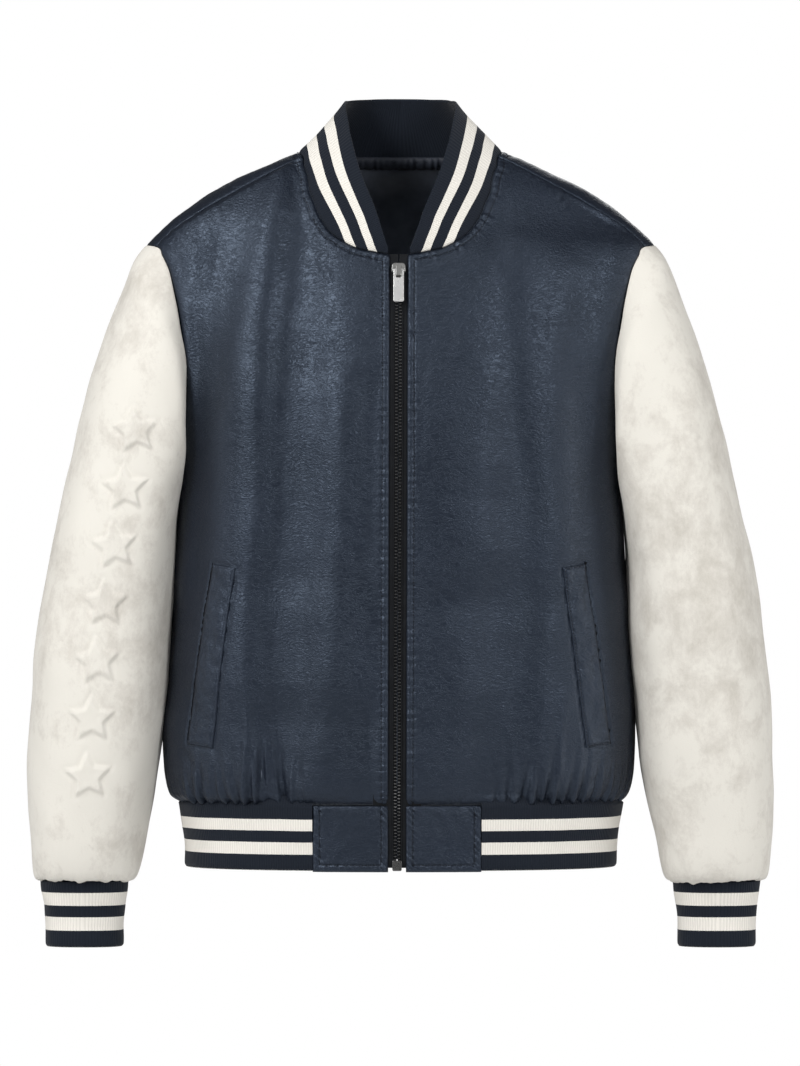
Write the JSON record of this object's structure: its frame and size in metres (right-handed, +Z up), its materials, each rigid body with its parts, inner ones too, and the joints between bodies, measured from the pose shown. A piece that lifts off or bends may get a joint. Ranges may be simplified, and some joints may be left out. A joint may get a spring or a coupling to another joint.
{
  "type": "varsity jacket",
  "caption": "Zip-front varsity jacket, filled out as worn: smooth leather body, pale suede sleeves, striped rib-knit collar, cuffs and hem, slanted welt pockets.",
  "frame": {"origin": "midway between the two points where the shoulder ridges meet the neck seam, where the wearer carries the jacket", "axes": "+Z up along the jacket, +X towards the wearer's left, -Y out of the front"},
  "size_m": [0.7064, 0.2442, 0.8061],
  "materials": {
    "navy_leather": "fine pebbled grain, soft sheen",
    "white_suede": "brushed nubuck, matt, mottled",
    "rib_knit": "fine vertical rib knit, matt, with pale stripes",
    "black_satin": "smooth satin lining",
    "zip_tape": "woven tape, matt",
    "zip_metal": "dark gunmetal",
    "bright_metal": "polished nickel"
  },
  "bodies": {
    "garment": {"front_left": "navy_leather", "front_right": "navy_leather", "back": "navy_leather", "hem_tab_left": "navy_leather", "hem_tab_right": "navy_leather", "pocket_welt_left": "navy_leather", "pocket_welt_right": "navy_leather", "sleeve_left": "white_suede", "sleeve_right": "white_suede", "collar": "rib_knit", "cuff_left": "rib_knit", "cuff_right": "rib_knit", "hem_rib": "rib_knit", "back_lining": "black_satin", "neck_tape": "black_satin", "zip_tape_left": "zip_tape", "zip_tape_right": "zip_tape", "zip_chain": "zip_metal", "zip_box": "zip_metal", "zip_slider": "bright_metal"},
    "pull_tab": {"zip_pull_tab": "bright_metal"}
  },
  "joints": [
    {"name": "pull_tab_hinge", "type": "hinge", "parent": "garment", "child": "pull_tab", "pos_m": [-0.00177, -0.09537, -0.11762], "axis": [-1, 0.001, 0.0027], "range_deg": [0, 170]}
  ]
}
